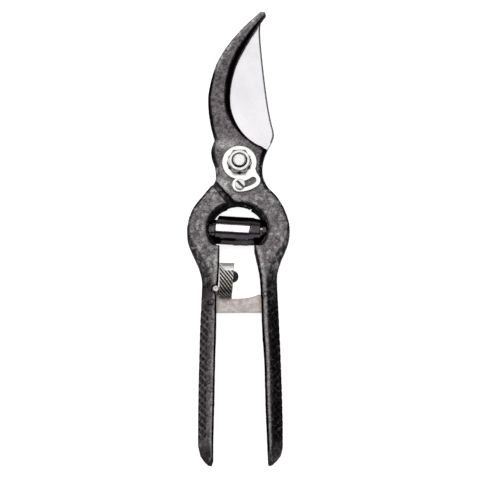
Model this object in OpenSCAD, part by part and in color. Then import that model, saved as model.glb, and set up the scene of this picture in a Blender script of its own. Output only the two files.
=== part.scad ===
// Bypass pruning shears with a hooked jaw, a riveted blade, a double volute spring and a
// catch that holds the handles together. The shears are closed and lie on a flat surface
// with the nut side up: X points right, Y points to the jaws, Z points up. The origin is
// on the pivot's axis, in the plane that the shears rest on.

/* [Thickness] */
// Thickness of both handles
body_t = 13.8; // [13.6:0.1:14.2]
// Thickness of the hooked jaw
hook_t = 4.55; // [4.4:0.05:4.8]
// Thickness of the blade
blade_t = 2.8; // [2.6:0.1:3]
// Thickness of the arm that carries the blade
arm_t = 3.2; // [3:0.1:3.4]
// Running gap between the blade and the jaw
blade_gap = 0.05; // [0.03:0.01:0.08]
// Thickness of the handles' flanges
flange_t = 2.2; // [2:0.1:2.4]

/* [Pivot] */
// Diameter of the bolt's shoulder
shoulder_d = 7; // [6.8:0.1:7.2]
// Diameter of the bolt's thread
thread_d = 6; // [5.9:0.1:6]
// Width across the nut's flats
nut_af = 10; // [9.8:0.1:10]
// Height of the nut
nut_h = 6.2; // [5.6:0.1:6.4]
// Outer diameter of the bush
bush_d = 10; // [9.8:0.1:10.2]
// Diameter of the bolt's head
head_d = 13; // [12:0.5:14]
// Thickness of the lock plate
lock_plate_t = 1.5; // [1.2:0.1:1.8]

/* [Spring] */
// Half the width of the spring cavity's rim
rim_half_w = 14.9; // [14.6:0.1:15]
// Radius of the spring cavity's throat
throat_r = 12.2; // [12.1:0.1:12.4]
// Radius of the spring's widest turns
spring_r = 6.8; // [6.6:0.1:6.8]

/* [Catch] */
// Thickness of the catch strap
strap_t = 2; // [1.8:0.1:2.2]
// Radius of the catch pin
catch_pin_r = 1.1; // [1:0.1:1.1]
// Thickness of the thumb pad's sheet
pad_t = 1.4; // [1.2:0.1:1.5]

/* [Hidden] */
$fn = 64;

forged_grey = [0.36, 0.35, 0.37];
polished_steel = [0.88, 0.88, 0.87];
bright_zinc = [0.8, 0.8, 0.78];
spring_black = [0.1, 0.1, 0.12];
strap_steel = [0.72, 0.69, 0.66];

fit = 0.02;            // radial clearance of parts that are fixed together
running_fit = 0.05;    // radial clearance of parts that turn
cut = 1;               // how far a cutter runs past a face

// Heights of the layers at the pivot
hook_z = body_t - hook_t;
blade_top = hook_z - blade_gap;
blade_z = blade_top - blade_t;
arm_z = blade_z - arm_t;
washer_t = 0.6;
head_h = arm_z - running_fit - washer_t;
plate_top = body_t + lock_plate_t;
mid_z = body_t / 2;

// Spring cavity, shared by the two handles, and what sits in it
cavity = [-0.86, -30.9];
ledge_y = -39;          // the cavity's round wall ends here, above the handles' inner edges
bevel_depth = 3.8;
bevel_shift = 2.3;     // the bevel's two cones stand this far to each side
seat_r = 5.2;
seat_depth = 13.6;
stud_r = 2.5;
stud_len = 4;
shank_r = 1.7;
shank_len = 5;
spring_bore_r = 2.7;
spring_gap = 0.1;

// Rivets that hold the blade on its arm
blade_rivet_at = [[-6, 9.6], [2.2, 10.3]];
blade_rivet_r = 1.6;
rivet_head_r = 2.6;
rivet_head_h = 1.1;

// Lock plate: a ring round the nut and a lobe with a curved slot for the lock screw
plate_ring_r = 7.9;
plate_web = [[7.3, -2.9], [8, -5], [8.9, -6.3], [3, -7]];
slot_r = 10.6;
slot_from = -90;
slot_to = -53;
slot_half_w = 1.6;
lobe_half_w = 3.3;
screw_at = [0.3, -10.7];
screw_r = 1.5;
screw_head_r = 2.35;
screw_head_h = 1.9;
screw_len = 3.8;

// Catch: its pivot, the pin it hooks and the angle between free and locked
catch_at = [-13.2, -66.3];
catch_pin_at = [12.3, -62.4];
lock_angle = 4;
catch_rivet_r = 1.3;
catch_eye_r = 2.4;
notch_r = catch_pin_r + 0.25;
stop_at = [-10.9, -60.2];
stop_r = 1.45;
stop_top = body_t + 1.2;
stop_notch_r = 2.2;
dimple_at = [10.8, -64.4];  // small punch mark beside the catch pin
dimple_r = 0.5;
dimple_depth = 1;
strap_z = mid_z - strap_t / 2;
pad_rivet_at = [-3.2, -53.1];
pad_rivet_r = 2.8;
pad_rivet_h = 1.6;

function turned(p, a) = [p.x * cos(a) - p.y * sin(a), p.x * sin(a) + p.y * cos(a)];

// Point at t between b and c of a smooth curve through a, b, c and d
function between(a, b, c, d, t) =
    b + 0.5 * t * ((c - a) + t * (2 * a - 5 * b + 4 * c - d + t * (3 * (b - c) + d - a)));

// Smooth open curve through all the points
function curve(p, steps = 4) = let(last = len(p) - 1) concat(
    [for (i = [0:last - 1]) for (s = [0:steps - 1])
        between(p[max(i - 1, 0)], p[i], p[i + 1], p[min(i + 2, last)], s / steps)],
    [p[last]]);

// Outlines, each read from the jaws to the handle's end or back again
hook_back = [[9.8, 73.5], [7.4, 71.2], [1.4, 65.5], [-5.5, 57.3], [-10.7, 48.3], [-13.8, 38],
             [-14.7, 29.5], [-13.6, 19.5], [-11.6, 11.5]];
hook_boss = [[-12.3, 9.9], [-13.2, 6.5], [-12.8, 2.5], [-11.4, -1.5], [-11, -5.5], [-11.1, -8.7]];
lap_edge = [[-3.25, -17.5], [-0.4, -20.7]];
right_inner = [[6.6, -38.4], [7, -40.6], [8.4, -46.9], [9.4, -53], [10, -64], [10.5, -78],
               [11.4, -92], [12, -113.5], [12.6, -128], [13.2, -141.6]];
right_tip = [[13.9, -142.1], [15.4, -141.8], [17.3, -140.4], [19.2, -138]];
right_outer = [[20.2, -134], [20.2, -122], [19.7, -104], [19, -85], [18.1, -66], [17.6, -57],
               [17.8, -51], [19.4, -45], [21.8, -39], [23.3, -33.3], [23.2, -28.2],
               [21.1, -21.8], [17.8, -16], [13.6, -11.2], [11.4, -7], [10.8, -2.4],
               [11.5, 2.6], [13.1, 7.1]];
hook_belly = [[13.1, 7.1], [9.7, 8.8], [6.1, 10.9], [2.4, 14.3], [-1.3, 19.8], [-3.7, 26.5],
              [-4.2, 33], [-3.3, 41], [-1, 49], [3.1, 57.3], [7.6, 64.7], [11.6, 70.3],
              [12.5, 71.5], [12.2, 73.2]];

left_shoulder = [[-3.5, -21.6], [-5.9, -18.4], [-12.3, -9.9]];
left_outer = [[-13.4, -10.7], [-17.5, -15.7], [-21.1, -20.4], [-23.4, -25.5], [-24.4, -31.5],
              [-23.6, -37], [-21.3, -42.7], [-18.8, -48.8], [-17.5, -54.5], [-17.6, -62],
              [-18.3, -76], [-18.8, -94], [-19.2, -113.5], [-19.3, -133]];
left_tip = [[-18.2, -138], [-16.5, -140.5], [-14.6, -142], [-12.8, -142.2]];
left_inner = [[-12, -140], [-11.9, -128], [-11.4, -108], [-11.1, -92], [-10.6, -74],
              [-10.6, -64], [-9.8, -57], [-9.4, -49], [-9.2, -43], [-9.2, -38.5]];

blade_spine = [[10.2, 69.8], [9.8, 65.5], [10.2, 58], [11.5, 45], [13.1, 32], [14.8, 21.9],
               [16.1, 16.6], [16.2, 13.8]];
blade_heel = [[15.3, 11.2], [13.6, 8.1], [11.3, 3]];
blade_root = [[-10.5, 2], [-9.8, 7.5], [-8.2, 12]];
blade_edge = [[-7.4, 17], [-7.6, 27], [-6.6, 38], [-3.8, 48], [1, 57.4], [6, 64.6], [10.2, 69.8]];
eye_r = 10.6;

arm_left = [[-15.5, -14.5], [-12.9, -9.4], [-11.2, -6], [-10.6, 0]];
arm_top = [[-10.2, 4.5], [-8.4, 10.5], [-4.2, 15.2], [1.5, 17], [7.4, 15.4], [11, 10.5],
           [11.2, 4.5], [10.6, 0]];
arm_right = [[10.9, -7], [10.95, -12.2], [7.05, -17.4], [4.5, -20.8]];

// Inner faces of the channels in the handles
right_channel = [[11.5, -49.5], [14.4, -50.6], [15.4, -54.5], [15.6, -62], [16.4, -78],
                 [17.4, -104], [17.9, -122], [17.8, -133], [16.7, -137.4], [14.6, -139.6]];
left_channel = [[-11.5, -49.5], [-14.4, -50.6], [-15.4, -54.5], [-15.7, -62], [-16.3, -76],
                [-16.9, -98], [-17.1, -120], [-17, -132.5], [-15.9, -137.3], [-13.8, -139.7]];

module rod(at, r, z0, z1) { translate([at.x, at.y, z0]) cylinder(r = r, h = z1 - z0); }

module slab(points, z0, z1) {
    translate([0, 0, z0]) linear_extrude(z1 - z0) polygon(points);
}

// The round cavity for the spring, bevelled at its left and right from both faces
module spring_cavity() {
    foot_r = throat_r - bevel_shift;
    slope = (rim_half_w - throat_r) / bevel_depth;
    mouth_r = rim_half_w - bevel_shift + slope * cut;
    intersection() {
        translate([cavity.x, cavity.y, -cut]) {
            cylinder(r = throat_r, h = body_t + 2 * cut);
            for (side = [-1, 1]) translate([side * bevel_shift, 0, 0]) {
                cylinder(r1 = mouth_r, r2 = foot_r, h = bevel_depth + cut);
                translate([0, 0, cut + body_t - bevel_depth])
                    cylinder(r1 = foot_r, r2 = mouth_r, h = bevel_depth + cut);
            }
        }
        slab([[-20, ledge_y], [20, ledge_y], [20, 0], [-20, 0]], -cut, body_t + cut);
    }
}

// One end's seat for the spring and the hole for its stud; side is -1 on the left, 1 right
module spring_seat(side) {
    translate([cavity.x, cavity.y, mid_z]) rotate([0, 90 * side, 0]) {
        cylinder(r = seat_r, h = seat_depth);
        cylinder(r = shank_r + fit, h = seat_depth + shank_len + fit);
    }
}

// The hollow of a handle, open to the inside; side is -1 on the left, 1 right
module channel(face, side) {
    slab(concat(curve(face), [[side * 4, -139.7], [side * 4, -49.5]]), flange_t, body_t - flange_t);
}

// The space behind the jaw, down to the right handle's shoulder, for the blade and its arm;
// its other corners lie outside the forging
module arm_clearance() {
    slab([[-40, 80], [40, 80], [40, -7.5], [14.7, -7.5], [3.9, -21.9], [3, -26], [-40, -26]],
         -cut, hook_z);
}

module arc_band(r, half_w, from, to, h) {
    rotate([0, 0, from]) rotate_extrude(angle = to - from)
        translate([r - half_w, 0]) square([2 * half_w, h]);
    for (a = [from, to]) rotate([0, 0, a]) translate([r, 0, 0]) cylinder(r = half_w, h = h);
}

module spring_stud(side) {
    color(bright_zinc) translate([cavity.x, cavity.y, mid_z]) rotate([0, 90 * side, 0]) {
        translate([0, 0, seat_depth - stud_len]) cylinder(r = stud_r, h = stud_len);
        translate([0, 0, seat_depth]) cylinder(r = shank_r, h = shank_len);
    }
}

// Front jaw and right handle in one forging
module hook_forging() {
    color(forged_grey) difference() {
        slab(concat(curve(hook_back), curve(hook_boss), lap_edge, [[0, -26]],
                    curve(right_inner), right_tip, curve(right_outer), curve(hook_belly)),
             0, body_t);
        arm_clearance();
        spring_cavity();
        spring_seat(1);
        channel(right_channel, 1);
        rod([0, 0], thread_d / 2 + fit, hook_z - cut, body_t + cut);
        rod(screw_at, screw_r + fit, body_t - screw_len - fit, body_t + cut);
        rod(catch_pin_at, catch_pin_r + fit, -cut, body_t + cut);
        rod(dimple_at, dimple_r, body_t - dimple_depth, body_t + cut);
    }
}

// Left handle and the arm behind the blade in one forging
module arm_forging() {
    color(forged_grey) difference() {
        union() {
            slab(concat(left_shoulder, curve(left_outer), left_tip, curve(left_inner),
                        [[-5, -32]]), 0, body_t);
            slab(concat(curve(arm_left), curve(arm_top), arm_right, [[-4, -27], [-13, -23]]),
                 arm_z, blade_z);
        }
        spring_cavity();
        spring_seat(-1);
        channel(left_channel, -1);
        rod([0, 0], bush_d / 2 + fit, arm_z - cut, blade_z + cut);
        for (at = blade_rivet_at) rod(at, blade_rivet_r + fit, arm_z - cut, blade_z + cut);
        rod(catch_at, catch_rivet_r + fit, -cut, body_t + cut);
        rod(stop_at, stop_notch_r, body_t - flange_t - cut, body_t + cut);
    }
}

module blade() {
    eye = [for (a = [0:-10:-180]) eye_r * [cos(a), sin(a)]];
    color(polished_steel) difference() {
        slab(concat(curve(blade_spine), blade_heel, eye, blade_root, curve(blade_edge)),
             blade_z, blade_top);
        rod([0, 0], bush_d / 2 + fit, blade_z - cut, blade_top + cut);
        for (at = blade_rivet_at) {
            rod(at, blade_rivet_r + fit, blade_z - cut, blade_top + cut);
            translate([at.x, at.y, blade_top - rivet_head_h])
                cylinder(r1 = blade_rivet_r + fit, r2 = rivet_head_r + fit, h = rivet_head_h);
        }
    }
}

// Two rivets, countersunk in the blade and domed behind the arm
module blade_rivets() {
    color(bright_zinc) for (at = blade_rivet_at) {
        rod(at, blade_rivet_r, arm_z, blade_top);
        rod(at, rivet_head_r, arm_z - rivet_head_h, arm_z);
        translate([at.x, at.y, blade_top - rivet_head_h])
            cylinder(r1 = blade_rivet_r, r2 = rivet_head_r, h = rivet_head_h);
    }
}

// Round head, shoulder that the bush turns on, and a threaded end with a domed tip
module pivot_bolt() {
    bolt_top = body_t + nut_h + 1.5;
    dome_r = 12;
    color(bright_zinc) {
        cylinder(r = head_d / 2, h = head_h);
        rod([0, 0], shoulder_d / 2, head_h, hook_z);
        intersection() {
            rod([0, 0], thread_d / 2, hook_z, bolt_top);
            translate([0, 0, bolt_top - dome_r]) sphere(dome_r);
        }
        rod([0, 0], thread_d / 2, hook_z, body_t + nut_h);
    }
}

// Hexagon nut, chamfered at its top's corners and at its bore
module pivot_nut() {
    corner_r = nut_af / 2 / cos(30);
    chamfer = 0.6;
    bore_chamfer = 0.65;
    color(bright_zinc) translate([0, 0, body_t]) difference() {
        intersection() {
            cylinder(r = corner_r, h = nut_h, $fn = 6);
            union() {
                cylinder(r = corner_r + 1, h = nut_h - chamfer);
                translate([0, 0, nut_h - chamfer])
                    cylinder(r1 = corner_r, r2 = nut_af / 2 - 0.3, h = chamfer);
            }
        }
        rod([0, 0], thread_d / 2 + fit, -cut, nut_h + cut);
        translate([0, 0, nut_h - bore_chamfer])
            cylinder(r1 = thread_d / 2, r2 = thread_d / 2 + 2 * bore_chamfer, h = 2 * bore_chamfer);
    }
}

module bolt_washer() {
    color(bright_zinc) difference() {
        rod([0, 0], head_d / 2 + 0.5, head_h, head_h + washer_t);
        rod([0, 0], shoulder_d / 2 + fit, head_h - cut, head_h + washer_t + cut);
    }
}

module pivot_bush() {
    color("goldenrod") difference() {
        rod([0, 0], bush_d / 2, arm_z, blade_top);
        rod([0, 0], shoulder_d / 2 + running_fit, arm_z - cut, blade_top + cut);
    }
}

module lock_plate() {
    star_r = nut_af / 2 / cos(30) + 0.2;
    color(polished_steel) translate([0, 0, body_t]) difference() {
        union() {
            cylinder(r = plate_ring_r, h = lock_plate_t);
            arc_band(slot_r, lobe_half_w, slot_from, slot_to, lock_plate_t);
            slab(plate_web, 0, lock_plate_t);
        }
        for (a = [0, 30]) rotate([0, 0, a]) translate([0, 0, -cut])
            cylinder(r = star_r, h = lock_plate_t + 2 * cut, $fn = 6);
        translate([0, 0, -cut])
            arc_band(slot_r, slot_half_w, slot_from, slot_to, lock_plate_t + 2 * cut);
    }
}

module lock_screw() {
    slot_w = 0.9;
    color(bright_zinc) difference() {
        union() {
            rod(screw_at, screw_r, body_t - screw_len, plate_top);
            rod(screw_at, screw_head_r, plate_top, plate_top + screw_head_h);
        }
        translate([screw_at.x, screw_at.y, plate_top + screw_head_h]) rotate([0, 0, -45])
            cube([3 * screw_head_r, slot_w, 2 * slot_w], center = true);
    }
}

// Closed outer shape of the double volute: the widest turns are in the middle
module volute_spring() {
    steps = [[seat_depth - spring_gap, 4.7], [10, 6], [6.8, spring_r]];
    color(spring_black) translate([cavity.x, cavity.y, mid_z]) rotate([0, 90, 0]) difference() {
        for (s = steps) translate([0, 0, -s[0]]) cylinder(r = s[1], h = 2 * s[0]);
        cylinder(r = spring_bore_r, h = 4 * seat_depth, center = true);
    }
}

module spring_stud_left() { spring_stud(-1); }

module spring_stud_right() { spring_stud(1); }

// Strap with its eye, the ear that carries the thumb pad and the notch for the catch pin
module catch_strap() {
    notch = catch_at + turned(catch_pin_at - catch_at, -lock_angle);
    strap_top = [[-3.6, -63.5], [2, -63.2], [6, -62.5], [9.2, -61.3]];
    nose = [[notch.x + notch_r, -63.95], [15.1, -63.95], [15.2, -69.2]];
    ear = [[-12.9, -64], [-12.6, -58.8], [-9, -57.6], [-8.4, -50.8], [-3.2, -50.6], [-3, -55]];
    color(strap_steel) difference() {
        union() {
            slab(concat(ear, curve(strap_top), [[10, -61.8], [notch.x - notch_r, notch.y]],
                        [notch, [notch.x + notch_r, notch.y]], nose,
                        [[14.6, -69.8], [-11.4, -69.9], [-13.2, -68.6]]),
                 strap_z, strap_z + strap_t);
            rod(catch_at, catch_eye_r, strap_z, strap_z + strap_t);
        }
        rod(notch, notch_r, strap_z - cut, strap_z + strap_t + cut);
        rod(catch_at, catch_rivet_r + running_fit, strap_z - cut, strap_z + strap_t + cut);
    }
}

module catch_rivet() { color(bright_zinc) rod(catch_at, catch_rivet_r, 0, body_t); }

// Two spacers that keep the strap in the middle of the channel
module catch_spacers() {
    gap = 0.05;
    spacer_r = catch_eye_r - 0.2;
    color(bright_zinc) difference() {
        union() {
            rod(catch_at, spacer_r, flange_t, strap_z - gap);
            rod(catch_at, spacer_r, strap_z + strap_t + gap, body_t - flange_t);
        }
        rod(catch_at, catch_rivet_r + fit, 0, body_t);
    }
}

// Bent sheet: a foot on the strap's ear, a neck and an arched pad in front of the handles
module thumb_pad() {
    foot_z = strap_z + strap_t;
    blank = 12;            // width of the sheet before its sides are trimmed
    outside = [[-63.3, foot_z], [-63.3, 11.5], [-62.3, 14.2], [-59.8, 16], [-55, 16.8],
               [-51, 16.5], [-48.2, 15.7]];
    inside = [[-48, 14.3], [-51, 15.1], [-55, 15.4], [-59.1, 14.7], [-61, 13.2], [-61.9, 11],
              [-61.9, foot_z + pad_t]];
    profile = concat(curve(outside, 3), curve(inside, 3), [[-57.5, foot_z + pad_t], [-57.5, foot_z]]);
    width = [[-9.3, -64], [-9.3, -47.5], [-2.3, -47.5], [-2.9, -57], [-3.7, -64]];
    color(bright_zinc) intersection() {
        translate([-blank, 0, 0]) rotate([90, 0, 90]) linear_extrude(blank) polygon(profile);
        slab(width, 0, 2 * body_t);
    }
}

module pad_rivet() {
    foot = strap_z + strap_t;
    color(spring_black) rod(pad_rivet_at, pad_rivet_r, foot, foot + pad_rivet_h);
}

module stop_stud() { color(bright_zinc) rod(stop_at, stop_r, strap_z + strap_t, stop_top); }

module catch_pin() { color(bright_zinc) rod(catch_pin_at, catch_pin_r, 0, body_t); }

hook_forging();
arm_forging();
blade();
blade_rivets();
pivot_bolt();
pivot_nut();
bolt_washer();
pivot_bush();
lock_plate();
lock_screw();
volute_spring();
spring_stud_left();
spring_stud_right();
catch_strap();
catch_rivet();
catch_spacers();
thumb_pad();
pad_rivet();
stop_stud();
catch_pin();
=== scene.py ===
"""Looks of the bypass pruning shears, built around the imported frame."""

import itertools
import math

import bmesh
import bpy
import numpy as np
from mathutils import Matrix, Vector


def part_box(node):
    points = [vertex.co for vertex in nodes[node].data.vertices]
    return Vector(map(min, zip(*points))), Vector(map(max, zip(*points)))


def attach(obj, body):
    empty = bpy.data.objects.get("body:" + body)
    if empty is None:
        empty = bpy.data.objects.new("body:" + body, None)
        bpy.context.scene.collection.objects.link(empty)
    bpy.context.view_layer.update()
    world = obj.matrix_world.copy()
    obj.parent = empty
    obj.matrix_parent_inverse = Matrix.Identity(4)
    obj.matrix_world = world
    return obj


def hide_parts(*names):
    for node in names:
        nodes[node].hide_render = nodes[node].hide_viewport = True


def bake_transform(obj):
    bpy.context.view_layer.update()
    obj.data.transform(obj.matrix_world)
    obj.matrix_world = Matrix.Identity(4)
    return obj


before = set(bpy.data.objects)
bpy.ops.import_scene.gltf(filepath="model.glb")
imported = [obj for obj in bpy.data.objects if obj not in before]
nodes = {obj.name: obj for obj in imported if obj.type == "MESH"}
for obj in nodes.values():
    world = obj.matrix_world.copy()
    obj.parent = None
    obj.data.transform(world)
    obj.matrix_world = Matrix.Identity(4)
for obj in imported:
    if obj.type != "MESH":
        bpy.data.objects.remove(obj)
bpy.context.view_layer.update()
MM = 0.001
FAR = 1.0              # metres; stands for "no such edge near here"
SAME = 0.001 * MM      # vertices closer than this are one vertex
UPRIGHT = 0.05         # a wall's normal rises no more than this


# ---------------------------------------------------------------- places from the frame

def low(node):
    """The lowest corner of the CAD node's box."""
    return np.array(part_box(node)[0])


def high(node):
    """The highest corner of the CAD node's box."""
    return np.array(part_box(node)[1])


def middle(node):
    return (low(node) + high(node)) / 2


def radius(node):
    """Half of the CAD node's width along x."""
    return (high(node)[0] - low(node)[0]) / 2


BODY_TOP = high("arm_forging")[2]
MID_Z = BODY_TOP / 2
BLADE_TOP = high("blade")[2]
JAW_REAR = BLADE_TOP + 0.05 * MM         # the blade slides behind the hook with this clearance
CAVITY = middle("volute_spring")


# ---------------------------------------------------------------- number helpers

HASH = (73856093, 19349663, 83492791, 2654435761, 1274126177)     # multipliers that mix cells


def smooth(low_edge, high_edge, value):
    """0 below low_edge, 1 above high_edge and a soft step between them."""
    t = np.clip((value - low_edge) / (high_edge - low_edge), 0, 1)
    return t * t * (3 - 2 * t)


def value_noise(points, cell, seed):
    """Smooth 3-D noise from -1 to 1 with lumps about one cell wide."""
    scaled = points / cell
    base = np.floor(scaled).astype(np.int64)
    part = scaled - base
    part = part * part * (3 - 2 * part)
    total = np.zeros(len(points))
    for corner in itertools.product((0, 1), repeat=3):
        spot = base + np.array(corner)
        mixed = spot[:, 0] * HASH[0] ^ spot[:, 1] * HASH[1] ^ spot[:, 2] * HASH[2] ^ seed * HASH[3]
        mixed = (mixed ^ (mixed >> 13)) * HASH[4] & 0x7FFFFFFF
        mixed = (mixed ^ (mixed >> 15)) & 0xFFFF
        weight = np.prod(np.where(np.array(corner) == 1, part, 1 - part), axis=1)
        total += weight * (mixed / 0x7FFF - 1)
    return total


def stripes(turns, full, gone):
    """1 along the middle of each stripe, 0 between them; `turns` counts the stripes."""
    return 1 - smooth(full, gone, np.abs(turns % 1 - 0.5) * 2)


def along_y(y, table, unit=MM):
    """Reads {place along y in mm: value} at each y; the values are in mm unless a unit says so."""
    places = sorted(table)
    values = [table[place] for place in places]
    return np.interp(y, np.array(places) * MM, np.array(values) * unit)


def distance_to(points, edges):
    """Distance of each 2-D point to the nearest of the edges."""
    best = np.full(len(points), FAR)
    for start, end in edges:
        along = end - start
        t = np.clip((points - start) @ along / (along @ along), 0, 1)
        gap = points - start - t[:, None] * along
        best = np.minimum(best, np.hypot(gap[:, 0], gap[:, 1]))
    return best


# ---------------------------------------------------------------- mesh helpers

def add_piece(name, mesh):
    piece = bpy.data.objects.new(name, mesh)
    bpy.context.scene.collection.objects.link(piece)
    return piece


def copy_of(node, name):
    """A new piece with the CAD node's shape, its split vertices joined."""
    mesh = nodes[node].data.copy()
    mesh.materials.clear()
    work = bmesh.new()
    work.from_mesh(mesh)
    bmesh.ops.remove_doubles(work, verts=work.verts, dist=SAME)
    work.to_mesh(mesh)
    work.free()
    return add_piece(name, mesh)


def apply_modifiers(piece):
    """Makes what the modifiers show into the piece's own mesh."""
    depsgraph = bpy.context.evaluated_depsgraph_get()
    mesh = bpy.data.meshes.new_from_object(piece.evaluated_get(depsgraph))
    piece.modifiers.clear()
    piece.data = mesh


def fine_mesh(piece, voxel, rounds):
    """An even, dense mesh of the piece with its edges a little softened."""
    voxels = piece.modifiers.new("voxels", "REMESH")
    voxels.mode = "VOXEL"
    voxels.voxel_size = voxel
    soften = piece.modifiers.new("soften", "SMOOTH")
    soften.factor = 0.5
    soften.iterations = rounds
    apply_modifiers(piece)
    piece.data.shade_smooth()


def points_of(mesh):
    points = np.empty(3 * len(mesh.vertices))
    mesh.vertices.foreach_get("co", points)
    return points.reshape(-1, 3)


def normals_of(mesh):
    normals = np.empty(3 * len(mesh.vertices))
    mesh.vertex_normals.foreach_get("vector", normals)
    return normals.reshape(-1, 3)


def move_points(mesh, points):
    mesh.vertices.foreach_set("co", points.ravel())
    mesh.update()


def paint(mesh, name, values):
    """Stores one number per vertex, which the materials read."""
    layer = mesh.attributes.new(name, "FLOAT", "POINT")
    layer.data.foreach_set("value", np.clip(values, 0, 1))


def wall_edges(node, height, holes=()):
    """Edges of the node's upright walls at a height, and where and which way each wall faces.

    Each hole is a (place, size) pair; walls nearer to its place than its size are left out.
    """
    mesh = nodes[node].data
    mesh.calc_loop_triangles()
    points = points_of(mesh)
    edges, facing = [], []
    for triangle in mesh.loop_triangles:
        if abs(triangle.normal.z) > UPRIGHT:
            continue
        at_height = [i for i in triangle.vertices if abs(points[i][2] - height) < 10 * SAME]
        if len(at_height) != 2:
            continue
        start, end = points[at_height[0]][:2], points[at_height[1]][:2]
        centre = (start + end) / 2
        if any(np.hypot(*(centre - spot[:2])) < size for spot, size in holes):
            continue
        if np.hypot(*(end - start)) > 10 * SAME:
            edges.append((start, end))
            facing.append((*centre, triangle.normal.x, triangle.normal.y))
    return edges, np.array(facing)


def pick(edges, chosen):
    """The edges whose flag is set."""
    return [edge for edge, keep in zip(edges, chosen) if keep]


# ---------------------------------------------------------------- material helpers

class Shader:
    """Builds one material's nodes with short calls."""

    def __init__(self, name):
        self.material = bpy.data.materials.new(name)
        self.material.use_nodes = True
        self.tree = self.material.node_tree
        self.tree.nodes.clear()
        self.place = self.add("ShaderNodeTexCoord").outputs["Object"]

    def add(self, kind, inputs=None, **settings):
        node = self.tree.nodes.new(kind)
        for key, value in settings.items():
            setattr(node, key, value)
        for key, value in (inputs or {}).items():
            if isinstance(value, bpy.types.NodeSocket):
                self.tree.links.new(value, node.inputs[key])
            else:
                node.inputs[key].default_value = value
        return node

    def noise(self, size, detail=2.0, stretch=(1, 1, 1)):
        """Noise from 0 to 1 with lumps of about `size` metres."""
        place = self.place
        if stretch != (1, 1, 1):
            place = self.add("ShaderNodeMapping", {0: place, 3: stretch}).outputs[0]
        inputs = {"Vector": place, "Scale": 1 / size, "Detail": detail, "Roughness": 0.6}
        return self.add("ShaderNodeTexNoise", inputs).outputs["Fac"]

    def attribute(self, name):
        return self.add("ShaderNodeAttribute", attribute_name=name).outputs["Fac"]

    def remap(self, value, from_low, from_high, to_low=0.0, to_high=1.0):
        inputs = {0: value, 1: from_low, 2: from_high, 3: to_low, 4: to_high}
        return self.add("ShaderNodeMapRange", inputs).outputs[0]

    def math(self, operation, a, b):
        return self.add("ShaderNodeMath", {0: a, 1: b}, operation=operation).outputs[0]

    def mix(self, factor, a, b):
        colours = {0: factor, 6: a, 7: b}
        return self.add("ShaderNodeMix", colours, data_type="RGBA").outputs[2]

    def bump(self, height, distance, strength=1.0):
        inputs = {"Height": height, "Distance": distance, "Strength": strength}
        return self.add("ShaderNodeBump", inputs).outputs[0]

    def finish(self, colour, roughness, normal, **fixed):
        inputs = {"Base Color": colour, "Roughness": roughness, "Normal": normal}
        inputs.update({key.replace("_", " "): value for key, value in fixed.items()})
        shader = self.add("ShaderNodeBsdfPrincipled", inputs)
        self.add("ShaderNodeOutputMaterial", {"Surface": shader.outputs[0]})
        return self.material


def grey(value, warm=0.0):
    """A grey, slightly warm above 0 and slightly violet below."""
    return (value * (1 + warm), value, value * (1 - warm), 1)


def forged_steel():
    """Tumbled dark steel on the faces, black scale in bevels, painted highlights on ridges and edges.

    The attribute "ground" says how much of the tumbled grey shows, painted light and shade on the
    handles' slopes included; "worn" says how much painted highlight and wear brighten it.
    """
    s = Shader("forged_steel")
    blotch = s.noise(2.2 * MM, 3)
    grain = s.noise(0.8 * MM, 3)
    fleck = s.noise(1.1 * MM, 4)
    mixed = s.math("ADD", s.math("MULTIPLY", blotch, 0.45), s.math("MULTIPLY", grain, 0.55))
    face = s.mix(s.remap(mixed, 0.42, 0.60), (0.034, 0.031, 0.034, 1), (0.225, 0.203, 0.212, 1))
    face = s.mix(s.remap(fleck, 0.60, 0.72, 0, 0.5), face, grey(0.40, 0.01))
    face = s.mix(s.remap(s.noise(7 * MM, 2), 0.35, 0.7, 0, 0.35), face, (0.17, 0.142, 0.155, 1))
    scale = s.mix(s.remap(grain, 0.4, 0.7), grey(0.002), (0.011, 0.008, 0.0075, 1))
    colour = s.mix(s.attribute("ground"), scale, face)
    # Painted highlights, partly real wear, mixed towards a pale grey
    highlight_and_wear = s.math("MULTIPLY", s.attribute("highlight_and_wear"), s.remap(grain, 0.38, 0.58, 0.2, 1.15))
    colour = s.mix(highlight_and_wear, colour, grey(0.58, 0.02))
    roughness = s.remap(grain, 0.3, 0.7, 0.40, 0.58)
    normal = s.bump(mixed, 0.12 * MM, 0.7)
    return s.finish(colour, roughness, normal, Metallic=0.95, Specular_Tint=grey(0.04))


def bright_metal(name, light, dark, gloss, lump, brushed=(1, 1, 1), depth=0.02, shade_below=None):
    """Plated or ground metal: fine scratches, slight clouding, uneven gloss.

    Below the height given by its last argument, the colour is darkened: painted shade in slots and bores
    and down the sides.
    """
    s = Shader(name)
    cloud = s.noise(lump, 3)
    scratch = s.noise(0.25 * MM, 3, brushed)
    colour = s.mix(s.remap(cloud, 0.35, 0.68), dark, light)
    colour = s.mix(s.remap(scratch, 0.6, 0.8, 0, 0.35), colour, dark)
    # Painted shade: the colour darkens below the given height, in slots and bores and down the sides.
    if shade_below is not None:
        height = s.add("ShaderNodeSeparateXYZ", {0: s.place}).outputs[2]
        below = s.remap(height, shade_below - 0.1 * MM, shade_below, 1, 0)
        shade_amount = s.math("MULTIPLY", below, s.remap(cloud, 0.3, 0.7, 0.85, 1))
        colour = s.mix(shade_amount, colour, (0.036, 0.032, 0.028, 1))
    roughness = s.remap(scratch, 0.3, 0.7, gloss * 0.8, gloss * 1.3)
    return s.finish(colour, roughness, s.bump(scratch, depth * MM, 0.5), Metallic=1.0)


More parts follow.
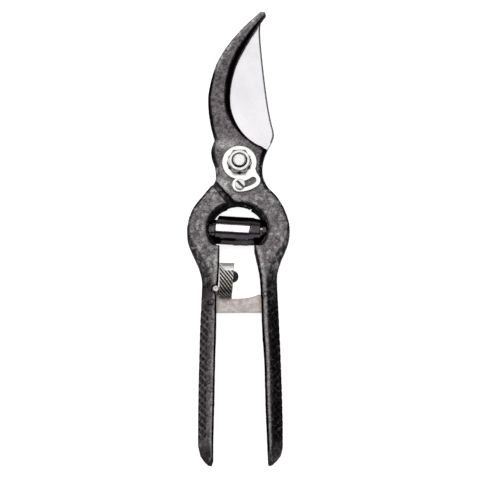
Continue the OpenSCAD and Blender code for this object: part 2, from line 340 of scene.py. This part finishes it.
def spring_steel():
    """Glossy black oxide with a faint brown and violet cast."""
    s = Shader("spring_black")
    cloud = s.noise(4 * MM, 3)
    fine = s.noise(0.4 * MM, 2, (0.2, 1, 1))
    colour = s.mix(s.remap(cloud, 0.35, 0.65), (0.040, 0.037, 0.045, 1), (0.062, 0.052, 0.054, 1))
    roughness = s.remap(fine, 0.3, 0.7, 0.09, 0.14)
    normal = s.bump(fine, 0.004 * MM, 0.4)
    return s.finish(colour, roughness, normal, Metallic=1.0, Specular_Tint=grey(0.4))


def pad_steel():
    """Bright plated sheet with painted shade in its grip grooves and on its lower part, which turns away
    from the light.
    """
    s = Shader("pad_plating")
    cloud = s.noise(2 * MM, 3)
    fine = s.noise(0.25 * MM, 2)
    colour = s.mix(s.remap(cloud, 0.35, 0.68), grey(0.46, 0.03), grey(0.64, 0.02))
    # Painted shade on the pad's lower part, which turns away from the light
    lower_shade = s.math("MULTIPLY", s.attribute("lower_shade"), s.remap(cloud, 0.3, 0.7, 0.45, 0.75))
    colour = s.mix(lower_shade, colour, (0.20, 0.17, 0.145, 1))
    # Painted shade in the grip grooves
    colour = s.mix(s.attribute("groove"), colour, (0.022, 0.018, 0.014, 1))
    roughness = s.remap(fine, 0.3, 0.7, 0.2, 0.34)
    return s.finish(colour, roughness, s.bump(fine, 0.02 * MM, 0.5), Metallic=1.0)


def black_oxide():
    """Dull black finish of the small rivet."""
    s = Shader("black_oxide")
    fine = s.noise(0.4 * MM, 3)
    colour = s.mix(s.remap(fine, 0.4, 0.7), grey(0.006), grey(0.022))
    return s.finish(colour, s.remap(fine, 0.3, 0.7, 0.4, 0.6), s.bump(fine, 0.02 * MM), Metallic=0.5)


def floor_white():
    """Pale floor with a glow of its own, so that shadows hardly show on it."""
    s = Shader("floor_white")
    cloud = s.noise(0.4, 2)
    colour = s.mix(cloud, grey(0.80), grey(0.84))
    normal = s.bump(s.noise(3 * MM, 2), 0.02 * MM, 0.2)
    glow = {"Emission_Color": (1, 1, 1, 1), "Emission_Strength": 0.80}
    return s.finish(colour, s.remap(cloud, 0, 1, 0.85, 0.95), normal, **glow)


FORGED = forged_steel()
BLADE_STEEL = bright_metal("blade_polish", light=(0.558, 0.548, 0.562, 1), dark=(0.502, 0.492, 0.510, 1),
                           gloss=0.20, lump=14 * MM, brushed=(0.15, 1, 1))
PLATE_STEEL = bright_metal("plate_polish", light=grey(0.66, 0.01), dark=grey(0.60, 0.01),
                           gloss=0.16, lump=3 * MM)
# Nut, bolt and screw get painted shade below the given height, in bores, slots and on the sides.
NUT_STEEL = bright_metal("nut_plating", light=grey(0.60, 0.01), dark=grey(0.44, 0.01),
                         gloss=0.20, lump=2 * MM, shade_below=high("pivot_nut")[2] - 0.62 * MM)
BOLT_STEEL = bright_metal("bolt_plating", light=grey(0.62), dark=grey(0.54, 0.02), gloss=0.24,
                          lump=1.2 * MM, depth=0.015, shade_below=high("pivot_bolt")[2] - 0.5 * MM)
SCREW_STEEL = bright_metal("screw_plating", light=grey(0.58), dark=grey(0.44, 0.02), gloss=0.24,
                           lump=1.2 * MM, depth=0.015, shade_below=high("lock_screw")[2] - 0.25 * MM)
RIVET_STEEL = bright_metal("rivet_satin", light=grey(0.50, 0.03), dark=grey(0.26, 0.05),
                           gloss=0.30, lump=1.2 * MM)
STRAP_STEEL = bright_metal("strap_satin", light=(0.53, 0.475, 0.455, 1), dark=(0.34, 0.30, 0.285, 1),
                           gloss=0.42, lump=1.8 * MM, depth=0.06)
PAD_STEEL = pad_steel()
BUSH_BRONZE = bright_metal("bush_bronze", light=(0.45, 0.30, 0.14, 1), dark=(0.33, 0.2, 0.09, 1),
                           gloss=0.4, lump=1 * MM)
SPRING_BLACK = spring_steel()
BLACK_OXIDE = black_oxide()


def give_material(piece, material):
    piece.data.materials.clear()
    piece.data.materials.append(material)


def dress(piece, material, body, slot, *replaced):
    """Gives the piece its material and body, and hides the CAD nodes it stands for; the slot is not
    used.
    """
    give_material(piece, material)
    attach(piece, body)
    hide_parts(*replaced)


# ---------------------------------------------------------------- forged halves

# Heights along the shears: + towards the jaws' tips, - towards the handles' ends
THIN_FROM, TIP = 44 * MM, 75 * MM           # the hook's jaw thins from here to its tip
BACK_HIGHLIGHT_FROM, BACK_HIGHLIGHT_FULL = 40 * MM, 52 * MM     # the hook's back gets a painted highlight above these
JAW_FROM = 8 * MM                           # above this the hook curves round the blade
REAR_FROM, REAR_FULL = -9 * MM, -14 * MM    # the rear faces have bevels below these
HANDLE_TOP = -30 * MM                       # below this the handles begin to turn D-shaped
HANDLE_FULL = HANDLE_TOP - 28 * MM
CHANNEL_FROM = -38 * MM                     # the handles' hollow inner sides begin here
GRIP_FROM, GRIP_TO = -66 * MM, -133 * MM    # the grip pattern runs between these
END_FROM = -134 * MM                        # the handles' cut-off ends begin here
PUNCH_MARK = np.array([10.8, -64.4]) * MM

# Bevel widths and the handle's section, as {place along y: width}, in millimetres
BELLY_BEVEL = {6: 0.7, 12: 1.4, 25: 2.9, 45: 3.0, 58: 2.6, 66: 1.6, 72: 0.8}
BACK_BEVEL = {10: 1.6, 45: 1.5, 60: 1.0, 73: 0.6}
OUTER_BEVEL = {-60: 1.5, -42: 2.2, -36: 1.4, -10: 1.3}
INNER_BEVEL = {-140: 1.0, -60: 1.0, -38: 0.8}
FALL_WIDTH = {-140: 5.6, -60: 5.6, -50: 4.6, -42: 3.0, -34: 1.6, -28: 1.4}
FALL_DEPTH = {-140: 4.6, -60: 4.6, -42: 2.0, -30: 0}
ROUNDED_EDGES = (              # part of the outline, how deep and how wide its rounding is
    ("boss", 1.9, 2.4), ("neck", 2.0, 2.4), ("lap", 0.5, 0.7), ("end", 1.6, 2.2),
)
MOST_BEVEL = 3.4 * MM
TIP_THINNING = 0.7 * MM                     # the jaw's front face drops this much to its tip

# Grip pattern and hammer marks
GRIP_PITCH = 3.5 * MM
GRIP_DEPTH = 0.38 * MM
HANDLE_SIDE = 4.6 * MM                      # how far the D section falls at its outer side
HAMMER_DEPTH, HAMMER_FINE = 0.11 * MM, 0.06 * MM
MATING_FROM, MATING_TO = 2.9 * MM, 9.4 * MM  # faces between these heights slide on each other

# Tones: the inner ridges' widths, how grey the left slope is painted (painted light low down, painted
# shade high up), and two pale patches on the forgings beside the lock plate, each as (centre, size,
# strength)
RIGHT_RIDGE = {-125: 0.7, -60: 1.5}
LEFT_RIDGE = {-60: 0.6, -52: 1.6}
LEFT_SLOPE_LIGHT_AND_SHADE = {-70: 0.85, -58: 0.12, -45: 0.08}
PALE_PATCHES = (((-6.5, 9.4), (5.0, 2.4), 1.2), ((-7.6, -9.5), (2.4, 4.5), 0.8))


class Outline:
    """The parts of one forging's outline, without the walls of its small holes."""

    def __init__(self, node, side):
        holes = [(middle(name), radius(name) + 0.5 * MM)
                 for name in ("pivot_bolt", "lock_screw", "catch_pin", "catch_rivet")]
        holes += [(middle("stop_stud"), 2.5 * MM), (PUNCH_MARK, 0.9 * MM)]
        edges, facing = wall_edges(node, BODY_TOP, holes)
        y, normal_x, normal_y = facing.T[1:]
        outward = normal_x * side
        self.side = side
        # Each part by where its walls stand along y and which way they face
        self.parts = {
            "belly": pick(edges, (y > 7.2 * MM) & (normal_x > 0) & (normal_y < 0.8)),
            "back": pick(edges, (y > 9 * MM) & ((normal_x < 0) | (normal_y > 0.8))),
            "boss": pick(edges, (y < 11 * MM) & (y > -5 * MM) & (normal_x < 0)),
            "neck": pick(edges, (y > -12 * MM) & (y < JAW_FROM) & (normal_x > 0)),
            "outer": pick(edges, (outward > 0) & (y < -10 * MM) & (normal_y > -0.75)),
            "lap": pick(edges, (y < -8 * MM) & (y > -24 * MM) & (outward < 0)),
            "inner": pick(edges, (outward < 0) & (y < CHANNEL_FROM)),
            "end": pick(edges, (y < END_FROM) & (normal_y < -0.3)),
        }

    def gaps(self, flat):
        """Distance of each 2-D point to each part; FAR where the forging lacks the part."""
        return {part: distance_to(flat, edges) for part, edges in self.parts.items()}


def rounding(gap, width):
    """Quarter-round drop, 1 at the edge and 0 from `width` inward."""
    t = np.clip(1 - gap / width, 0, 1)
    return 1 - np.sqrt(np.clip(1 - t * t, 0, 1))


def chamfer(gap, width):
    """Straight drop, 1 at the edge and 0 from `width` inward."""
    return np.clip(1 - gap / width, 0, 1)


class ForgedSkin:
    """Turns a flat-faced piece inside a forging's outline into forged steel."""

    def __init__(self, piece, outline):
        self.mesh = piece.data
        self.side = outline.side
        self.points = points_of(self.mesh)
        self.flat = self.points[:, :2].copy()
        self.y = self.flat[:, 1]
        self.level = np.abs(normals_of(self.mesh)[:, 2])      # 1 on flat faces, 0 on walls
        self.rough = 0.25 * MM * value_noise(self.points, 3 * MM, seed=5)
        self.gaps = outline.gaps(self.flat)
        self.on_handle = smooth(HANDLE_TOP, HANDLE_FULL, self.y)
        self.belly_w = along_y(self.y, BELLY_BEVEL)
        self.back_w = along_y(self.y, BACK_BEVEL)
        self.outer_w = along_y(self.y, OUTER_BEVEL)
        self.inner_w = (1.15 if self.side > 0 else 0.9) * along_y(self.y, INNER_BEVEL)
        self.fall = np.clip(1 - self.gaps["outer"] / along_y(self.y, FALL_WIDTH), 0, 1) ** 1.6

    def bevel(self):
        """Cuts the bevels, thins the jaw to its tip and turns the handle's section into a D."""
        y, gaps, height = self.y, self.gaps, self.points[:, 2]
        rear = 0.78 * self.belly_w * chamfer(gaps["belly"], self.belly_w)
        rear = np.maximum(rear, 0.8 * self.back_w * rounding(gaps["back"], self.back_w))
        rear = np.maximum(rear, 0.8 * self.outer_w * rounding(gaps["outer"], self.outer_w))
        rear = np.maximum(rear, 0.9 * self.inner_w * chamfer(gaps["inner"], self.inner_w))
        for part, depth, width in ROUNDED_EDGES:
            rear = np.maximum(rear, depth * MM * rounding(gaps[part], width * MM))
        front = rear + TIP_THINNING * smooth(THIN_FROM, TIP, y)
        upper = np.clip((height - JAW_REAR) / (BODY_TOP - JAW_REAR), 0, 1)
        lower = np.clip(1 - height / (BODY_TOP - JAW_REAR), 0, 1)
        z = height - np.minimum(front, MOST_BEVEL) * upper
        z += np.minimum(rear, MOST_BEVEL) * lower * smooth(REAR_FROM, REAR_FULL, y)
        z = MID_Z + (z - MID_Z) * (1 - self.fall * along_y(y, FALL_DEPTH) / MID_Z)
        self.points[:, 2] = z
        move_points(self.mesh, self.points)

    def press_marks(self, hammered):
        """Presses in the crossed grip lines, then the hammer marks; both only cut inward."""
        y, z = self.y, self.points[:, 2]
        normals = normals_of(self.mesh)
        wrap = self.gaps["outer"] - np.maximum(MID_Z - HANDLE_SIDE - np.abs(z - MID_Z), 0)
        grip = smooth(GRIP_FROM, GRIP_FROM - 3 * MM, y) * smooth(GRIP_TO, GRIP_TO + 3 * MM, y)
        grip *= 1 - smooth(3.2 * MM, 4.3 * MM, wrap)
        grip *= normals[:, 0] * self.side > -0.2
        main_rib = stripes(y / GRIP_PITCH + 1.15 * wrap / GRIP_PITCH, 0.16, 0.40)
        cross_rib = stripes(y / GRIP_PITCH - 1.0 * wrap / GRIP_PITCH, 0.12, 0.34)
        self.rib = grip * main_rib
        self.cut = grip * (1 - main_rib) * (1 - 0.55 * cross_rib)
        self.mating = (self.level > 0.8) & (z > MATING_FROM) & (z < MATING_TO)
        inward = GRIP_DEPTH * self.cut
        if hammered:
            marks = 0.5 + 0.5 * value_noise(self.points, 2.2 * MM, seed=11)
            fine = 0.5 + 0.5 * value_noise(self.points, 0.9 * MM, seed=12)
            inward += np.where(self.mating, 0, HAMMER_DEPTH * marks + HAMMER_FINE * fine)
        self.points = self.points - normals * inward[:, None]
        move_points(self.mesh, self.points)

    def tone(self):
        """Paints what is tumbled grey, what keeps its black scale, the painted light and shade on the
        slopes, and the painted highlights and wear.
        """
        normals = normals_of(self.mesh)
        face = smooth(0.35, 0.8, self.level)
        upright = smooth(0.5, 0.2, np.abs(normals[:, 2]))
        back_highlight = smooth(BACK_HIGHLIGHT_FROM, BACK_HIGHLIGHT_FULL, self.y)
        ridge_gap = self.gaps["inner"] - self.inner_w
        ridge_w = along_y(self.y, RIGHT_RIDGE if self.side > 0 else LEFT_RIDGE)
        ground = self.ground_tone(face, back_highlight, ridge_gap, ridge_w)
        highlight_and_wear = self.highlight_and_wear_tone(face, back_highlight, ridge_gap, ridge_w)

        # The outer sides keep some of the tumbled grey, the inner ones are all scale
        away = np.where(self.y > JAW_FROM, -1, np.sign(self.points[:, 0]))
        outer_side = upright * smooth(0.2, 0.6, normals[:, 0] * away)
        ground = np.maximum(ground, 0.5 * outer_side * (1 - 0.8 * self.cut))
        paint(self.mesh, "ground", ground)
        paint(self.mesh, "highlight_and_wear", highlight_and_wear * (1 - upright))

    def ground_tone(self, face, back_highlight, ridge_gap, ridge_w):
        """Grey on the flat faces, black scale in the bevels, ribs in between, and painted light and
        shade on the handles' outer slopes.
        """
        y = self.y
        ground = face.copy()
        # The back's black edge narrows to nothing where the hook's back gets its painted highlight
        black_edges = {          # how far the black scale reaches in from each part
            "belly": self.belly_w, "back": self.back_w * (1 - back_highlight), "boss": 1.9 * MM,
            "neck": 2.2 * MM, "inner": self.inner_w, "lap": 0.4 * MM,
            "outer": self.outer_w * (1 - self.on_handle),
        }
        for part, width in black_edges.items():
            gap = self.gaps[part] + self.rough
            ground *= smooth(width * 0.75, width * 1.05 + 0.05 * MM, gap)
        ground *= ~self.mating

        # The handles' outer slopes, painted light and shade: painted shade, faintly speckled, on the
        # right slope, which faces away from the light; the left one is painted dark high up and lit grey
        # lower down
        slope = self.on_handle * smooth(0.01, 0.12, self.fall)
        if self.side > 0:
            past_ridge = smooth(ridge_w, ridge_w + 0.7 * MM, ridge_gap)
            slope = np.maximum(slope, past_ridge * smooth(-46 * MM, -60 * MM, y))
            slope_light_and_shade = 0.12 + 0.36 * smooth(0.0, 0.5, value_noise(self.points, 0.9 * MM, seed=31))
            # Painted sheen on the right handle's cut-off end
            slope_light_and_shade = slope_light_and_shade + 0.25 * smooth(-133 * MM, -134.5 * MM, y)
        else:
            slope_light_and_shade = along_y(y, LEFT_SLOPE_LIGHT_AND_SHADE, unit=1)
        ground = ground * (1 - slope) + slope_light_and_shade * slope
        # Painted shade on the left handle's rounded end
        if self.side < 0:        # the left handle's end is darker than the rest of its face
            ground *= 1 - 0.6 * smooth(END_FROM, END_FROM - 1.5 * MM, y)
        ground *= 1 - 0.75 * self.cut
        return np.maximum(ground, 1.2 * slope_light_and_shade * self.rib)

    def highlight_and_wear_tone(self, face, back_highlight, ridge_gap, ridge_w):
        """Painted highlights on the inner ridges and along the hook's back, bright on the belly's edge
        and in pale patches, speckled on the bows.
        """
        y = self.y
        on_ridge = smooth(-0.1 * MM, 0.15 * MM, ridge_gap)
        on_ridge *= 1 - smooth(ridge_w * 0.8, ridge_w * 1.25, ridge_gap)
        # Painted highlight along the inner ridges, beside their black edge
        highlight_and_wear = 0.32 * on_ridge * smooth(CHANNEL_FROM, CHANNEL_FROM - 10 * MM, y) * face
        highlight_and_wear += 0.35 * smooth(0.30 * MM, 0.10 * MM, self.gaps["belly"]) * (y > 20 * MM)
        speckle = smooth(0.05, 0.5, value_noise(self.points, 1.3 * MM, seed=23))
        bows = smooth(6 * MM, -4 * MM, y) * smooth(-62 * MM, -48 * MM, y)
        highlight_and_wear += (0.06 + 0.42 * speckle) * bows * face
        cloudy = 0.55 + 0.45 * value_noise(self.points, 2 * MM, seed=24)
        for spot, size, strength in PALE_PATCHES:
            offset = (self.flat - np.array(spot) * MM) / (np.array(size) * MM)
            highlight_and_wear += strength * cloudy * np.exp(-np.sum(offset ** 2, axis=1)) * face
        # Painted highlight: bright streaks along the hook's back towards the tip
        streak = smooth(0.1, 0.6, value_noise(self.points * [1, 0.6, 1], 1.6 * MM, seed=21))
        near_back = smooth(2.4 * MM, 0.7 * MM, self.gaps["back"])
        return highlight_and_wear + (0.4 + 1.1 * streak) * back_highlight * near_back


def forge(node, name, outline, body, slot, voxel, rounds, hammered):
    """Replaces one CAD node by a fine-meshed copy with the forging's skin."""
    piece = copy_of(node, name)
    fine_mesh(piece, voxel, rounds)
    skin = ForgedSkin(piece, outline)
    skin.bevel()
    skin.press_marks(hammered)
    skin.tone()
    dress(piece, FORGED, body, slot, node)


def make_forging(node, side, body, small_pieces):
    """One forging, and the small pieces that are dressed flush with its handle."""
    outline = Outline(node, side)
    forge(node, node + "_shell", outline, body, "forged_steel", 0.4 * MM, 6, hammered=True)
    for small in small_pieces:
        forge(small, small + "_flush", outline, body, "rivet_steel", 0.2 * MM, 3, hammered=False)


make_forging("hook_forging", 1, "hook_half", ["catch_pin"])
make_forging("arm_forging", -1, "blade_half", ["catch_rivet", "catch_spacers"])


# ---------------------------------------------------------------- blade

SPINE_BEVEL, SPINE_DEPTH = 0.9 * MM, 0.5 * MM
GRIND_WIDTH = 6 * MM           # the rear grind runs this far in from the cutting edge
EDGE_SHARE = 0.12              # of the blade's thickness is left at the cutting edge


def make_blade():
    """Polished blade: chamfered spine in front, long ground bevel at the cutting edge behind."""
    piece = copy_of("blade", "blade_ground")
    fine_mesh(piece, 0.3 * MM, 3)
    mesh = piece.data
    points = points_of(mesh)
    edges, facing = wall_edges("blade", BLADE_TOP)
    y, normal_x = facing.T[1:3]
    cutting_part = y > 12 * MM
    spine = distance_to(points[:, :2], pick(edges, cutting_part & (normal_x > 0.3)))
    cutting = distance_to(points[:, :2], pick(edges, cutting_part & (normal_x < 0)))
    under = BLADE_TOP - points[:, 2]
    thin = np.interp(cutting, [0, GRIND_WIDTH], [EDGE_SHARE, 1.0])
    near_front = np.clip(1 - under / (1.4 * MM), 0, 1)
    points[:, 2] = BLADE_TOP - under * thin - SPINE_DEPTH * chamfer(spine, SPINE_BEVEL) * near_front
    move_points(mesh, points)
    dress(piece, BLADE_STEEL, "blade_half", "blade_steel", "blade")


make_blade()


# ---------------------------------------------------------------- volute spring

# Each row: turns from the strip's middle, then its left and right edge there, in millimetres
# from the cavity's middle
COIL_EDGES = np.array([
    (-2.6, -13.3, -6.0), (-1.75, -13.3, -4.4), (-1.5, -11.7, -3.0), (-1.25, -11.5, -1.0),
    (-1.0, -11.3, 1.5), (-0.75, -11.2, 5.2), (-0.6, -10.2, 5.5), (-0.5, -10.4, 5.8),
    (0.0, -6.6, 9.2), (0.25, 0.0, 11.2), (0.5, 6.0, 10.5), (1.0, 6.2, 11.4),
    (1.25, 5.6, 11.5), (1.5, 5.0, 11.7), (1.75, 4.4, 13.3), (2.6, 6.0, 13.3),
])
COIL_RADII = {0: 6.8, 0.5: 6.75, 0.75: 6.65, 1.0: 6.05, 1.25: 5.6, 1.5: 5.3, 1.75: 5.0, 2.6: 4.65}
COIL_STEPS = 36 * 5
COIL_YAW = math.radians(-3.5)
STRIP_T = 0.6 * MM
STRIP_EDGE = 0.12 * MM         # rounding of the strip's edges
WALL_R = 12.0 * MM             # the coil's edges follow the cavity's round wall
LEAST_ROOM = 4.9 * MM          # the least half-height that this wall leaves the strip
ACROSS = [0, 0.02, 0.08, 0.2, 0.35, 0.5, 0.65, 0.8, 0.92, 0.98, 1]      # closest at its edges


def coil_lean(t):
    """How fast the coil's radius shrinks towards the strip's right edge, at a turn."""
    upper = smooth(0.1, 0.3, t) * smooth(0.02, 0.04, abs(t - 1.5))
    return 0.12 * (upper + smooth(-1.1, -1.3, t))


def coil_points():
    """Rows of points round the coil; each row is the outer surface and then the inner one."""
    turns, left, right = COIL_EDGES.T
    verts = []
    for t in np.linspace(turns[0], turns[-1], COIL_STEPS + 1):
        angle = 2 * math.pi * (t - 0.5)
        outer_r = np.interp(abs(t), list(COIL_RADII), list(COIL_RADII.values())) * MM
        lean = coil_lean(t)
        yaw = COIL_YAW * (1 - smooth(0.8, 1.3, abs(t)))
        x_from, x_to = np.interp(t, turns, left) * MM, np.interp(t, turns, right) * MM
        for surface_r in (outer_r, outer_r - STRIP_T):
            for spot in ACROSS:
                x = x_from + (x_to - x_from) * spot
                r = surface_r - lean * (x - x_from)
                room = math.sqrt(max((WALL_R - outer_r + surface_r) ** 2 - x * x, LEAST_ROOM ** 2))
                y = min(max(r * math.sin(angle), -room), room)
                turned_x = x * math.cos(yaw) - y * math.sin(yaw)
                turned_y = x * math.sin(yaw) + y * math.cos(yaw)
                verts.append((CAVITY[0] + turned_x, CAVITY[1] + turned_y, MID_Z + r * math.cos(angle)))
    return verts


def coil_faces():
    """Outer, inner, edge and end faces that join the rows of coil_points."""
    across = len(ACROSS) - 1
    ring = 2 * (across + 1)
    faces = []
    for k in range(COIL_STEPS):
        a, b = k * ring, (k + 1) * ring
        for i in range(across):
            faces.append((a + i, a + i + 1, b + i + 1, b + i))
            j = across + 1 + i
            faces.append((a + j, b + j, b + j + 1, a + j + 1))
        faces.append((a, b, b + across + 1, a + across + 1))
        faces.append((a + across, a + ring - 1, b + ring - 1, b + across))
    for base, flip in ((0, False), (COIL_STEPS * ring, True)):
        for i in range(across):
            quad = (base + i, base + across + 1 + i, base + across + 2 + i, base + i + 1)
            faces.append(quad[::-1] if flip else quad)
    return faces


def make_spring():
    """A flat strip wound from one end's tip, wide in the middle, to the other end's tip."""
    mesh = bpy.data.meshes.new("volute_strip")
    mesh.from_pydata(coil_points(), [], coil_faces())
    work = bmesh.new()
    work.from_mesh(mesh)
    bmesh.ops.recalc_face_normals(work, faces=work.faces)
    sharp = [e for e in work.edges if e.is_manifold and e.calc_face_angle() > 1.0]
    bmesh.ops.bevel(work, geom=sharp, offset=STRIP_EDGE, segments=2, affect="EDGES", profile=0.5)
    work.to_mesh(mesh)
    work.free()
    mesh.shade_smooth()
    piece = add_piece("volute_strip", mesh)
    give_material(piece, SPRING_BLACK)
    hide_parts("volute_spring")
    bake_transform(piece)
    return piece


volute = make_spring()


# ---------------------------------------------------------------- thumb pad

PAD_BEND = np.array([-55.0, 8.5]) * MM        # the bend's axis, as (y, z)
PAD_BEND_R = 8.0 * MM
GROOVE_PITCH, GROOVE_DEPTH = 1.6 * MM, 0.40 * MM
CROSS_PITCH, CROSS_DEPTH = 2.0 * MM, 0.08 * MM
PAD_GRIP_END = 18.0 * MM                      # the grooves end here, as swept round the bend
PAD_GRIP_DROP = 3.0 * MM                      # and this much sooner away from the left edge
# The pad's painted shade fades in between these, as swept round the bend
LOWER_SHADE_FROM, LOWER_SHADE_TO = 12 * MM, 10.3 * MM


def make_thumb_pad():
    """Bent sheet with slanting grip grooves cut in its outer face."""
    piece = copy_of("thumb_pad", "thumb_pad_knurled")
    fine_mesh(piece, 0.15 * MM, 3)
    mesh = piece.data
    points, normals = points_of(mesh), normals_of(mesh)
    x = points[:, 0]
    arm = points[:, 1:] - PAD_BEND
    outside = np.sum(normals[:, 1:] * arm, axis=1) / np.maximum(np.hypot(*arm.T), SAME)
    swept = np.arctan2(arm[:, 1], -arm[:, 0]) * PAD_BEND_R
    groove = stripes((x + 0.8 * swept) / GROOVE_PITCH, 0.20, 0.65)
    cross = stripes((x - 0.9 * swept) / CROSS_PITCH, 0.0, 0.3) * (1 - groove)
    from_left = np.clip((x - low("thumb_pad")[0]) / (2.5 * MM), 0, 1)
    top_edge = PAD_GRIP_END - PAD_GRIP_DROP * from_left
    zone = smooth(0.4, 0.7, outside) * (1 - smooth(top_edge, top_edge + 0.6 * MM, swept))
    zone *= smooth(-1 * MM, 1 * MM, swept)
    depth = zone * (GROOVE_DEPTH * groove + CROSS_DEPTH * cross)
    move_points(mesh, points - normals * depth[:, None])
    # Painted shade in the grooves and on the lower part of the bend
    paint(mesh, "groove", zone * (groove + 0.25 * cross))
    paint(mesh, "lower_shade", smooth(LOWER_SHADE_FROM, LOWER_SHADE_TO, swept))
    dress(piece, PAD_STEEL, "catch", "pad_steel", "thumb_pad")


make_thumb_pad()


# ---------------------------------------------------------------- machined CAD pieces

MACHINED = {                   # the metal, and how much its edges are broken, in millimetres
    "pivot_bolt": (BOLT_STEEL, 0.25), "pivot_nut": (NUT_STEEL, 0.2),
    "bolt_washer": (NUT_STEEL, 0.12), "pivot_bush": (BUSH_BRONZE, 0.08),
    "lock_plate": (PLATE_STEEL, 0.3), "lock_screw": (SCREW_STEEL, 0.2),
    "blade_rivets": (RIVET_STEEL, 0.2), "spring_stud_left": (RIVET_STEEL, 0.2),
    "spring_stud_right": (RIVET_STEEL, 0.2), "catch_strap": (STRAP_STEEL, 0.25),
    "pad_rivet": (BLACK_OXIDE, 0.4), "stop_stud": (RIVET_STEEL, 0.3),
}


def machined(node, material, edge):
    """The CAD node stays: its edges are broken by a small bevel and it gets its metal."""
    piece = nodes[node]
    weld = piece.modifiers.new("weld", "WELD")
    weld.merge_threshold = SAME
    flat = piece.modifiers.new("flat", "DECIMATE")
    flat.decimate_type = "DISSOLVE"
    flat.angle_limit = math.radians(0.3)
    bevel = piece.modifiers.new("edge", "BEVEL")
    bevel.width = edge
    bevel.segments = 3
    bevel.limit_method = "ANGLE"
    bevel.angle_limit = math.radians(28)
    bevel.use_clamp_overlap = True
    bevel.harden_normals = True
    give_material(piece, material)


for node, (material, edge) in MACHINED.items():
    machined(node, material, edge * MM)


# ---------------------------------------------------------------- floor, light and camera

FLOOR_HALF = 3.0
WORLD_STRENGTH = 0.18
TILT = math.radians(14)        # the photo's estimated tilt towards the handles' ends
CAMERA_DISTANCE = 6.0
VIEW_WIDTH = 0.2232            # metres across the picture at the object
LOOK_AT = np.array([0.28, -35.08, 6.9]) * MM
SPRING_PLACE = (0, CAVITY[1], MID_Z)


def make_floor():
    """One pale square under the shears."""
    mesh = bpy.data.meshes.new("floor")
    corners = [(x * FLOOR_HALF, y * FLOOR_HALF, 0) for x, y in ((-1, -1), (1, -1), (1, 1), (-1, 1))]
    mesh.from_pydata(corners, [], [(0, 1, 2, 3)])
    mesh.materials.append(floor_white())
    add_piece("floor", mesh)


def softbox(name, centre, size, radiance, aim):
    """A rectangular light that faces the aim point; radiance is what a mirror would show."""
    light = bpy.data.lights.new(name, "AREA")
    light.shape = "RECTANGLE"
    light.size, light.size_y = size
    light.energy = radiance * math.pi * size[0] * size[1]
    piece = bpy.data.objects.new(name, light)
    bpy.context.scene.collection.objects.link(piece)
    piece.location = centre
    piece.rotation_euler = (Vector(aim) - Vector(centre)).to_track_quat("-Z", "Y").to_euler()
    piece.visible_camera = False
    return piece


def light_only(lamp, piece):
    """The lamp lights this piece and nothing else."""
    chosen = bpy.data.collections.new(lamp.name + "_receivers")
    chosen.objects.link(piece)
    lamp.light_linking.receiver_collection = chosen


def make_world():
    """An even, dim white surround."""
    world = bpy.data.worlds.new("studio")
    world.use_nodes = True
    tree = world.node_tree
    tree.nodes.clear()
    shade = tree.nodes.new("ShaderNodeBackground")
    shade.inputs["Color"].default_value = (1, 1, 1, 1)
    shade.inputs["Strength"].default_value = WORLD_STRENGTH
    out = tree.nodes.new("ShaderNodeOutputWorld")
    tree.links.new(shade.outputs[0], out.inputs["Surface"])
    bpy.context.scene.world = world


def make_camera():
    """Seen from above the nut side, from far off, tilted towards the handles' ends."""
    data = bpy.data.cameras.new("camera")
    data.sensor_width = 36
    data.lens = data.sensor_width * CAMERA_DISTANCE / VIEW_WIDTH
    data.clip_start, data.clip_end = 0.05, 30
    camera = bpy.data.objects.new("camera", data)
    bpy.context.scene.collection.objects.link(camera)
    camera.location = LOOK_AT + CAMERA_DISTANCE * np.array([0, -math.sin(TILT), math.cos(TILT)])
    camera.rotation_euler = (TILT, 0, 0)
    bpy.context.scene.camera = camera


def make_lights():
    """Two softboxes for everything, and three that give only the spring its streak and sheen."""
    softbox("overhead", (0, 0.30, 2.0), (2.0, 2.7), 1.5, SPRING_PLACE)
    softbox("left_side", (-1.6, 0.2, 0.9), (1.2, 1.6), 1.1, SPRING_PLACE)
    light_only(softbox("spring_strip", (0, 0.29, 2.2), (0.30, 2.2), 26.0, (0, 0.29, 0)), volute)
    light_only(softbox("spring_front", (0, -1.9, 1.0), (1.6, 1.5), 1.3, SPRING_PLACE), volute)
    light_only(softbox("spring_back", (0, 1.9, 0.6), (1.6, 1.2), 0.6, SPRING_PLACE), volute)


make_floor()
make_world()
make_lights()
make_camera()
bpy.context.scene.view_settings.view_transform = "Standard"
